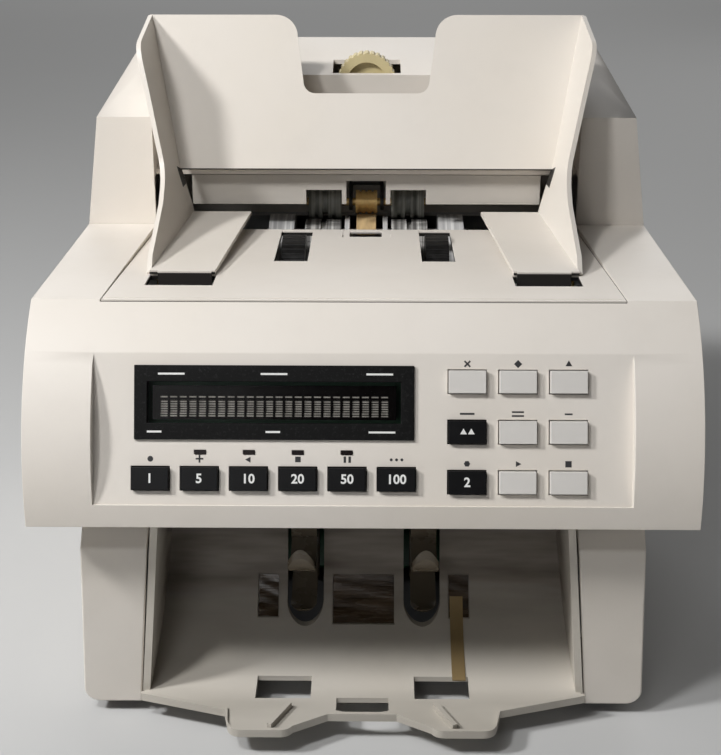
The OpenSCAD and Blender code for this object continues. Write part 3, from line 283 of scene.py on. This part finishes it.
FINISH = {
    "housing": moulded("housing", BEIGE),
    "deck": moulded("deck", BEIGE),
    "head": moulded("head", BEIGE),
    "hopper": moulded("hopper", (0.715, 0.67, 0.612), 0.46, mottle=0.03),
    "tray": moulded("tray", (0.56, 0.525, 0.47), grime=0.22),
    "throat": moulded("throat", (0.50, 0.47, 0.43), 0.55),
    "putty": moulded("putty", (0.145, 0.12, 0.088), 0.26, grime=0.3),
    "thumb": moulded("thumb", (0.62, 0.53, 0.30)),
    "bezel": crackled("bezel", (0.004, 0.004, 0.004)),
    "lens": Finish("lens", (0.002, 0.002, 0.002), 0.12, Alpha=0.14, Specular_IOR_Level=0.05),
    "tube": display_glass(),
    "film": brown_film(),
    "sensor": satin("sensor", (0.004, 0.003, 0.003), 0.12, dust=0.3),
    "board": satin("board", (0.03, 0.16, 0.07), 0.4),
    "led": satin("led", (0.008, 0.004, 0.004), 0.25, dust=0.3, Specular_IOR_Level=0.2),
    "key_black": satin("key_black", (0.0045, 0.0045, 0.005), 0.34, dust=0.4, Specular_IOR_Level=0.22),
    "key_grey": satin("key_grey", (0.66, 0.635, 0.60), 0.45, dust=0.5),
    "black": satin("black", (0.012, 0.012, 0.012), 0.45),
    "base": satin("base", (0.09, 0.092, 0.095), 0.5),
    "motor": satin("motor", (0.045, 0.048, 0.05), 0.4),
    "print_white": satin("print_white", (0.78, 0.78, 0.76), 0.5),
    "print_black": satin("print_black", (0.03, 0.03, 0.032), 0.5),
    "steel": metal("steel", (0.55, 0.555, 0.56), 0.34, ALONG_X),
    "shaft": metal("shaft", (0.62, 0.62, 0.63), 0.2, ROUND_X),
    "brass": metal("brass", (0.90, 0.62, 0.25), 0.24, ALONG_X, metallic=0.55),
    "strip": metal("strip", (0.36, 0.255, 0.12), 0.42, ROUND_X, metallic=0.35),
    "band": drum_rubber(),
    "rubber": rubbery("rubber", (0.006, 0.0055, 0.0052), 0.36),
    "roll": ringed("roll", (0.86, 0.85, 0.83), (0.48, 0.475, 0.47), 0.36, 0.15),
    "guide": ringed("guide", (0.42, 0.42, 0.38), (0.12, 0.12, 0.105), 0.45, 0.0),
}


def under_deck(f):
    """How deep a point lies under the plane of the deck's face."""
    return (CREASE_Z - DECK_FALL * (f.y / MM + MID - CREASE_Y)) * MM - f.z


def up_hopper(f):
    """How far a point lies up the hopper's back panel."""
    back = (f.y - (PANEL_BASE_Y - MID) * MM) * math.sin(HOPPER_LEAN)
    return back + (f.z - HOPPER_BOTTOM_Z * MM) * math.cos(HOPPER_LEAN)


def shade_the_openings():
    """The deck's windows and seams, the hopper's feet in front, its back panel's foot and the base under the tray's
    holes lie in painted shadow.
    """
    deck, head, hopper = FINISH["deck"], FINISH["head"], FINISH["hopper"]
    deck.shadow(under_deck(deck) > 0.75 * MM, DEEP_SHADOW)
    opening = (head.x.abs() < DECK_HALF_W * MM) * (head.y > -0.085) * (head.z > 0.15)
    head.shadow((under_deck(head) > 0.35 * MM) * opening, DEEP_SHADOW)
    feet = (hopper.y < (FOOT_FRONT_Y - MID) * MM) * (hopper.z < (CREASE_Z - 0.9) * MM)
    edge = (up_hopper(hopper) < 0.25 * MM) * (hopper.y > 0.045) * (hopper.z > 0.2)
    hopper.shadow((feet + edge).clamp(0, 1), (0.025, 0.022, 0.02))
    base = FINISH["base"]
    base.shadow(base.y < -0.083, (0.055, 0.028, 0.02))      # under the holes of the tray


def stain_and_shade_the_tray():
    """The pocket's far end is darkened in waves, partly by a stain and partly by painted shade, and its lip is
    darker.
    """
    tray = FINISH["tray"]
    wave = tray.noise(34.0, 3.0, 0.55, (0.4, 1, 2.8)) - 0.5
    # Painted shade with a brown stain: darker towards the back of the pocket and up its sweep, in waves.
    pocket_stain_and_shade = ((tray.y + 0.112) * 26.0).clamp(0, 1) * ((tray.z - 0.016) * 40.0).clamp(0, 1)
    # Darker at the front lip, below its top.
    darker = ((-0.113 - tray.y) * 90.0).clamp(0, 1) * (tray.z < LIP_TOP_Z * MM)
    tray.shadow(darker * (0.30 + wave * 0.5), (0.20, 0.18, 0.145))
    tray.shadow(pocket_stain_and_shade * (0.72 + wave * 0.9).clamp(0.3, 0.92), (0.075, 0.05, 0.033))


def dress(obj, name):
    obj.data.materials.clear()
    obj.data.materials.append(FINISH[name].material)


shade_the_openings()
stain_and_shade_the_tray()
OWN = {"feed_deck": "deck", "head_cover": "head", "static_strip": "strip"}     # nodes with a finish of their own
for node, slot_name in SLOT.items():
    for slot in NODES[node].material_slots:
        slot.material = FINISH[OWN.get(node, slot_name)].material


# ---------------------------------------------------------------- modelling helpers
def only(obj):
    """Leaves object mode and selects this object alone."""
    if bpy.context.object and bpy.context.object.mode != "OBJECT":
        bpy.ops.object.mode_set(mode="OBJECT")
    bpy.ops.object.select_all(action="DESELECT")
    bpy.context.view_layer.objects.active = obj
    obj.select_set(True)


def edit_all(obj):
    """Opens this object in edit mode with all of it selected."""
    only(obj)
    bpy.ops.object.mode_set(mode="EDIT")
    bpy.ops.mesh.select_all(action="SELECT")


def point_outwards(obj):
    edit_all(obj)
    bpy.ops.mesh.normals_make_consistent(inside=False)
    bpy.ops.object.mode_set(mode="OBJECT")


def modifier(obj, kind, **settings):
    only(obj)
    m = obj.modifiers.new(kind.title(), kind)
    for key, value in settings.items():
        setattr(m, key, value)
    bpy.ops.object.modifier_apply(modifier=m.name)


def settle(obj, name, node, replace=False):
    """Puts a finished piece's place in its mesh, and lets it ride with the node that it belongs to."""
    only(obj)
    bpy.ops.object.transform_apply(location=True, rotation=True, scale=True)
    obj.name = obj.data.name = name
    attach(obj, BODY[node])
    if replace:
        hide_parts(node)
    return obj


# ---------------------------------------------------------------- mouldings with rounded edges
def round_wall_corners(hopper, radius=6.0):
    """Rounds the corners in the front edge of the hopper's side walls, in edit mode."""
    bpy.ops.mesh.select_mode(type="EDGE")
    bpy.ops.mesh.select_all(action="DESELECT")
    mesh = bmesh.from_edit_mesh(hopper.data)
    for e in mesh.edges:
        middle = (e.verts[0].co + e.verts[1].co) / 2
        on_front_edge = abs(middle.x) > 0.08 and middle.y < 0.05 and middle.z > 0.2
        across = abs(e.calc_length() - HOPPER_WALL * MM) < 0.12 * MM and len(e.link_faces) == 2
        if on_front_edge and across and e.calc_face_angle() > 0.17:
            e.select_set(True)
    bmesh.update_edit_mesh(hopper.data)
    bpy.ops.mesh.bevel(offset=radius * MM, segments=6, affect="EDGES", clamp_overlap=True)


def softened(node, width, segments, name=None):
    """A copy of a rigid node with its sharp edges rounded, which stands for the node."""
    source = NODES[node]
    obj = bpy.data.objects.new(name or node + "_moulding", source.data.copy())
    bpy.context.collection.objects.link(obj)
    obj.matrix_world = source.matrix_world
    edit_all(obj)
    bpy.ops.mesh.remove_doubles(threshold=0.000004)
    bpy.ops.mesh.dissolve_limited(angle_limit=math.radians(0.3))
    if node == "hopper":
        round_wall_corners(obj)
    modifier(obj, "BEVEL", width=width * MM, segments=segments, limit_method="ANGLE", angle_limit=math.radians(28),
             use_clamp_overlap=True, loop_slide=True, harden_normals=False)
    only(obj)
    bpy.ops.object.shade_smooth_by_angle(angle=math.radians(32))
    modifier(obj, "WEIGHTED_NORMAL", keep_sharp=True, weight=80)
    dress(obj, OWN.get(node, SLOT[node]))
    return settle(obj, obj.name, node, replace=True)


def lean_in(pod):
    """Leans a lower housing's outer wall in, more towards its top and its front."""
    wall_x, bottom, height, depth = 0.1, 0.0155, 0.085, 0.09
    for v in pod.data.vertices:
        if abs(v.co.x) > wall_x:
            rise = min(1, max(0, (v.co.z - bottom) / height))
            forward = min(1, max(0, -v.co.y / depth))
            v.co.x -= math.copysign(POD_LEAN * MM * rise * forward, v.co.x)


def loose_parts(mesh):
    """Gives the vertices of each separate part of a mesh."""
    mesh.verts.index_update()
    seen = set()
    for first in mesh.verts:
        if first.index in seen:
            continue
        seen.add(first.index)
        part, front = [], [first]
        while front:
            v = front.pop()
            part.append(v)
            for other in (e.other_vert(v) for e in v.link_edges):
                if other.index not in seen:
                    seen.add(other.index)
                    front.append(other)
        yield part


def crossed_screws(node, name, size=3.6, slot=0.8, depth=0.9):
    """A copy of a node of screws with a cross cut in each head, which stands for the node."""
    obj = softened(node, 0.25, 2, name=name)
    mesh, cutter = bmesh.new(), bmesh.new()
    mesh.from_mesh(obj.data)
    for screw in loose_parts(mesh):
        low = Vector(min(v.co[i] for v in screw) for i in range(3))
        high = Vector(max(v.co[i] for v in screw) for i in range(3))
        head, on_back = (low + high) / 2, high.y > 0.1      # the other screws are in the base
        head[1 if on_back else 2] = high.y if on_back else low.z
        for wide, across in ((size, slot), (slot, size)):
            scale = (wide, 2 * depth, across) if on_back else (wide, across, 2 * depth)
            place = Matrix.Translation(head) @ Matrix.Diagonal((*(k * MM for k in scale), 1))
            bmesh.ops.create_cube(cutter, size=1, matrix=place)
    mesh.free()
    tool = bpy.data.objects.new("cutter", bpy.data.meshes.new("cutter"))
    cutter.to_mesh(tool.data)
    cutter.free()
    bpy.context.collection.objects.link(tool)
    modifier(obj, "BOOLEAN", object=tool, operation="DIFFERENCE", solver="EXACT", use_self=True)
    bpy.data.objects.remove(tool)


MOULDINGS = [       # node, width of its rounded edges, segments
    ("head_cover", 0.7, 3), ("rear_housing", 1.6, 3), ("pod_left", 0.9, 3), ("pod_right", 0.9, 3),
    ("feed_deck", 0.35, 2), ("hopper", 0.5, 3), ("pocket_tray", 0.45, 2), ("throat_wall", 0.4, 2),
    ("display_bezel", 0.3, 2), ("thumbwheel", 0.25, 2)]
MOULDINGS += [(node, 0.45, 3) for node in NODES if node.startswith(("key_", "pad_key_"))]
for node, width, segments in MOULDINGS:
    moulding = softened(node, width, segments)
    if node.startswith("pod_"):
        lean_in(moulding)
crossed_screws("cover_screws", "cross_screws")


# ---------------------------------------------------------------- print on the keys and the panel
INK = 0.04                      # thickness of the print
INK_SPREAD = 0.13               # thickens the digits' strokes


def on_panel(u, v, n):
    """The place on the flat panel that lies u right of, v above and n in front of its middle."""
    face = Matrix(((1, 0, 0, 0), (0, math.sin(TILT), -math.cos(TILT), 0), (0, math.cos(TILT), math.sin(TILT), 0), (0, 0, 0, 1)))
    return Matrix.Translation(PANEL) @ face @ Matrix.Translation(Vector((u, v, n)) * MM)


def printed(text, u, v, node):
    """White digits on a key: a sheet of ink."""
    bpy.ops.object.text_add()
    obj = bpy.context.object
    obj.data.body, obj.data.size = text, 5.4 * MM
    obj.data.align_x, obj.data.align_y = "CENTER", "CENTER"
    obj.data.extrude, obj.data.resolution_u, obj.data.offset = INK / 2 * MM, 3, INK_SPREAD * MM
    only(obj)
    bpy.ops.object.convert(target="MESH")
    obj = bpy.context.object
    obj.matrix_world = on_panel(u, v, KEY_TOP + INK / 2)
    dress(obj, "print_white")
    settle(obj, "digits_" + text, node)


def stroke(sides, width, height, turn, place):
    """A flat polygon of ink at a place on the panel, with its width and height over its corners or flats."""
    square = sides == 4
    start = math.pi / sides if square else math.pi / 2
    bpy.ops.mesh.primitive_circle_add(vertices=sides, radius=0.5, fill_type="NGON", rotation=(0, 0, start))
    obj = bpy.context.object
    only(obj)
    bpy.ops.object.transform_apply(location=False, rotation=True, scale=False)
    k = math.sqrt(2) if square else 1.0
    size = Matrix.Diagonal((width * k * MM, height * k * MM, MM, 1))
    obj.matrix_world = place @ Matrix.Rotation(math.radians(turn), 4, "Z") @ size
    bpy.ops.object.transform_apply(location=True, rotation=True, scale=True)
    outwards = on_panel(0, 0, 1).translation - on_panel(0, 0, 0).translation
    edit_all(obj)
    bpy.ops.mesh.extrude_region_move(TRANSFORM_OT_translate={"value": outwards * INK})
    point_outwards(obj)
    return obj


def mark(strokes, u, v, n, node, ink, name):
    """A small printed sign made of strokes: (sides, width, height, turn, right, up)."""
    pieces = [stroke(sides, width, height, turn, on_panel(u + right_by, v + up_by, n))
              for sides, width, height, turn, right_by, up_by in strokes]
    only(pieces[0])
    if len(pieces) > 1:
        for obj in pieces:
            obj.select_set(True)
        bpy.ops.object.join()
    obj = bpy.context.object
    dress(obj, ink)
    settle(obj, name, node)


ROW_U, ROW_V = [-87.7 + 20.35 * i for i in range(6)], -21.5
PAD_U, PAD_V = [43.1 + 20.9 * i for i in range(3)], [18.9 - 20.75 * i for i in range(3)]
for number, u in zip(("1", "5", "10", "20", "50", "100"), ROW_U):
    printed(number, u, ROW_V, "key_" + number)
printed("2", PAD_U[0], PAD_V[2], "pad_key_a3")
mark([(3, 3.2, 3.2, -90, -1.6, 0), (3, 3.2, 3.2, -90, 1.6, 0)],
     PAD_U[0], PAD_V[1], KEY_TOP, "pad_key_a2", "print_white", "sign_fast")

# signs on the panel, above their keys
BAR, WIDE_BAR, DASH = [(4, 6.0, 0.8, 0, 0, 0)], [(4, 11.0, 0.8, 0, 0, 0)], [(4, 3.2, 0.7, 0, 0, 0)]
TWO_BARS = [(4, 5, 0.7, 0, 0, 0.8), (4, 5, 0.7, 0, 0, -0.8)]
PLUS = DASH + [(4, 0.7, 3.2, 0, 0, 0)]
CROSS = [(4, 3.4, 0.7, 45, 0, 0), (4, 3.4, 0.7, -45, 0, 0)]
PAUSE = [(4, 1.0, 2.6, 0, -1, 0), (4, 1.0, 2.6, 0, 1, 0)]
DOT, THREE_DOTS = [(24, 2.4, 2.4, 0, 0, 0)], [(24, 1.2, 1.2, 0, right_by, 0) for right_by in (-2.2, 0, 2.2)]
HEXAGON, DIAMOND = [(6, 2.6, 2.6, 0, 0, 0)], [(4, 2.4, 2.4, 45, 0, 0)]
SQUARE, LARGE_SQUARE = [(4, 2.3, 2.3, 0, 0, 0)], [(4, 2.6, 2.6, 0, 0, 0)]
ARROW_UP, ARROW_LEFT, ARROW_RIGHT = [(3, 3.2, 3.2, -90, 0, 0)], [(3, 3.0, 2.8, 0, 0, 0)], [(3, 3.0, 2.8, 180, 0, 0)]
SIGNS = {
    "row_1": (DOT, ROW_U[0], -13.4), "row_2": (PLUS, ROW_U[1], -13.3), "row_3": (ARROW_LEFT, ROW_U[2], -13.6),
    "row_4": (SQUARE, ROW_U[3], -13.4), "row_5": (PAUSE, ROW_U[4], -13.4), "row_6": (THREE_DOTS, ROW_U[5], -13.4),
    "pad_a1": (CROSS, PAD_U[0], 26.3), "pad_b1": (DIAMOND, PAD_U[1], 26.3), "pad_c1": (ARROW_UP, PAD_U[2], 26.3),
    "pad_a2": (BAR, PAD_U[0], 5.7), "pad_b2": (TWO_BARS, PAD_U[1], 5.7), "pad_c2": (DASH, PAD_U[2], 5.7),
    "pad_a3": (HEXAGON, PAD_U[0], -14.9), "pad_b3": (ARROW_RIGHT, PAD_U[1], -14.9),
    "pad_c3": (LARGE_SQUARE, PAD_U[2], -14.9)}
for name, (strokes, u, v) in SIGNS.items():
    mark(strokes, u, v, 0.0, "head_cover", "print_black", "sign_" + name)

# bars on the display's frame, over and under the glass
OVER_GLASS, UNDER_GLASS = 21.8, -2.1
FRAME_SIGNS = {
    "a": (WIDE_BAR, -79, OVER_GLASS), "b": (WIDE_BAR, -36.6, OVER_GLASS), "c": (WIDE_BAR, 7, OVER_GLASS),
    "d": (BAR, -86, UNDER_GLASS), "e": (BAR, -37, UNDER_GLASS), "f": (WIDE_BAR, 8, UNDER_GLASS)}
for name, (strokes, u, v) in FRAME_SIGNS.items():
    mark(strokes, u, v, BEZEL_TOP, "display_bezel", "print_white", "display_sign_" + name)


# ---------------------------------------------------------------- films and lens of the sensors
def film_sheet(name, x0, x1, low, high):
    """A film in a window's recess: a grid bent along the pocket's sweep, then given its thickness."""
    lift, ripple, thick = 0.75, 0.12, 0.2
    bpy.ops.mesh.primitive_grid_add(x_subdivisions=8, y_subdivisions=24, size=1)
    obj = bpy.context.object
    a0, a1 = (math.acos((SWEEP_Z - z) / SWEEP_R) for z in (low, high))
    for v in obj.data.vertices:
        a = a0 + (a1 - a0) * (v.co.y + 0.5)
        x = x0 + (x1 - x0) * (v.co.x + 0.5)
        reach = SWEEP_R + lift + ripple * math.sin(v.co.y * 19 + v.co.x * 4)
        v.co = Vector((x, SWEEP_Y + reach * math.sin(a) - MID, SWEEP_Z - reach * math.cos(a))) * MM
    modifier(obj, "SOLIDIFY", thickness=thick * MM, offset=0)
    point_outwards(obj)
    bpy.ops.object.shade_smooth_by_angle(angle=math.radians(40))
    dress(obj, "film")
    obj.name = obj.data.name = name
    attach(obj, "machine")


def sensor_lens(length=15.8, depth=8.8, thick=1.6):
    """The feed sensor's lens in the deck's slot: a dark glossy bar with rounded edges."""
    bpy.ops.mesh.primitive_cube_add(size=1)
    obj = bpy.context.object
    slope = Matrix.Rotation(-math.atan(DECK_FALL), 4, "X")
    size = Matrix.Diagonal((length * MM, depth * MM, thick * MM, 1))
    obj.data.transform(Matrix.Translation(Vector((0, 43.0 - MID, 177.2)) * MM) @ slope @ size)
    modifier(obj, "BEVEL", width=0.5 * MM, segments=3)
    bpy.ops.object.shade_smooth_by_angle(angle=math.radians(40))
    dress(obj, "sensor")
    obj.name = obj.data.name = "sensor_lens"
    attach(obj, "machine")


film_sheet("window_film_middle", -14.2, 14.2, 24.6, 41.6)
film_sheet("window_film_left", -49.1, -39.9, 26.5, 41.6)
film_sheet("window_film_right", 39.9, 49.1, 26.5, 41.6)
sensor_lens()


# ---------------------------------------------------------------- floor
bpy.ops.mesh.primitive_plane_add(size=12, location=(0, 0, 0))
floor = bpy.context.object
floor.name = "floor"
pale = Finish("pale_floor", (0.52, 0.52, 0.515), 0.9, Specular_IOR_Level=0.1)
pale.feed("Base Color", pale.mix(pale.noise(6.0, 4.0) * 0.3, (0.53, 0.53, 0.525), (0.49, 0.49, 0.485)))
floor.data.materials.append(pale.material)


# ---------------------------------------------------------------- light
def area_light(name, place, aim, size, power):
    data = bpy.data.lights.new(name, "AREA")
    data.shape, data.size, data.energy = "SQUARE", size, power
    lamp = bpy.data.objects.new(name, data)
    bpy.context.collection.objects.link(lamp)
    lamp.location = place
    lamp.rotation_euler = (aim - place).to_track_quat("-Z", "Y").to_euler()


def lamp_at(name, azimuth, height, distance, size, power):
    """An area light aimed at the machine, placed by its bearing, its height angle and its distance."""
    a, h, aim = math.radians(azimuth), math.radians(height), Vector((0, 0, 0.15))
    place = aim + distance * Vector((math.cos(a) * math.cos(h), math.sin(a) * math.cos(h), math.sin(h)))
    area_light(name, place, aim, size, power)


lamp_at("key_left", -156, 38, 1.2, 0.14, 9.8)
lamp_at("key_front", -132, 50, 1.2, 0.14, 5.2)
lamp_at("top_soft", -120, 62, 1.6, 0.6, 2.6)
lamp_at("front_soft", -104, 22, 1.6, 0.4, 1.8)
lamp_at("back_soft", 55, 25, 1.8, 0.8, 2.4)
area_light("floor_light", Vector((0, 4.2, 2.2)), Vector((0, 1.6, 0)), 3.0, 60.0)
world = bpy.data.worlds.new("studio")
world.use_nodes = True
world.node_tree.nodes["Background"].inputs["Color"].default_value = (0.80, 0.83, 0.88, 1)
world.node_tree.nodes["Background"].inputs["Strength"].default_value = 0.02
bpy.context.scene.world = world


# ---------------------------------------------------------------- camera
def place_camera(place, down, yaw, roll, focal, frame_width):
    """A camera that looks along +Y, then down, to the side and rolled; its focal length is in pixels of its frame."""
    data = bpy.data.cameras.new("camera")
    data.sensor_fit, data.sensor_width, data.clip_start = "HORIZONTAL", 36.0, 0.02
    data.lens = 36.0 * focal / frame_width
    camera = bpy.data.objects.new("camera", data)
    bpy.context.collection.objects.link(camera)
    down, yaw, roll = math.radians(down), math.radians(yaw), math.radians(roll)
    ahead, right = Vector((0, math.cos(down), -math.sin(down))), Vector((1, 0, 0))
    up = Vector((0, math.sin(down), math.cos(down)))
    ahead, right = ahead * math.cos(yaw) + right * math.sin(yaw), right * math.cos(yaw) - ahead * math.sin(yaw)
    right, up = right * math.cos(roll) + up * math.sin(roll), up * math.cos(roll) - right * math.sin(roll)
    turned = Matrix((right, up, -ahead)).transposed().to_4x4()
    camera.matrix_world = Matrix.Translation(place) @ turned
    bpy.context.scene.camera = camera


place_camera(Vector((0.005738, (-677.0 - MID) * MM, 0.392)), down=22.0, yaw=-0.619, roll=0.230,
             focal=1500.0, frame_width=721.0)
bpy.context.scene.view_settings.view_transform = "Standard"
